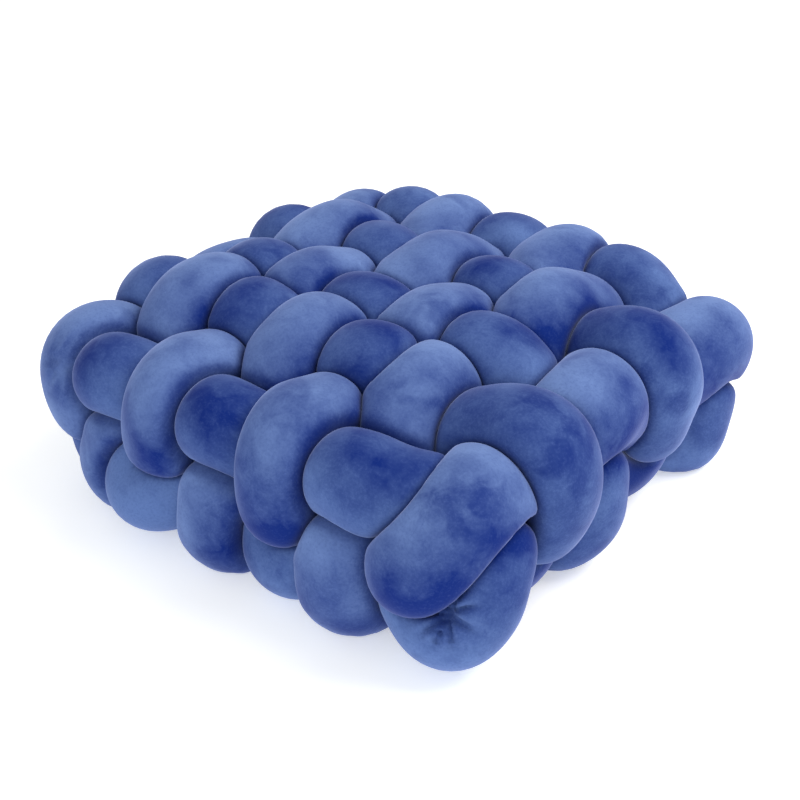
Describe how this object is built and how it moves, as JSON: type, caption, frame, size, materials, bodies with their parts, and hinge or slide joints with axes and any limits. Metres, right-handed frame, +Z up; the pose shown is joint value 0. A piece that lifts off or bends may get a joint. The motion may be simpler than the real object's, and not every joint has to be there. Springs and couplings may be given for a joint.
{
  "type": "woven tube cushion",
  "caption": "Thick square cushion woven over one and under one from soft stuffed plush tubes, each a closed hoop that wraps round the sides.",
  "frame": {"origin": "middle of the flat underside of the cushion", "axes": "+Z up through the thickness, +Y from the front side to the back side along the lengthwise tubes, +X to the right along the crosswise tubes"},
  "size_m": [0.4482, 0.4408, 0.1754],
  "materials": {
    "plush": "short-pile violet-blue velvet plush, matt with a pale sheen where it turns away"
  },
  "bodies": {
    "root": {"lengthwise_1": "plush", "lengthwise_2": "plush", "lengthwise_3": "plush", "lengthwise_4": "plush", "lengthwise_5": "plush", "lengthwise_6": "plush", "lengthwise_7": "plush", "crosswise_1": "plush", "crosswise_2": "plush", "crosswise_3": "plush", "crosswise_4": "plush", "crosswise_5": "plush"}
  },
  "joints": []
}
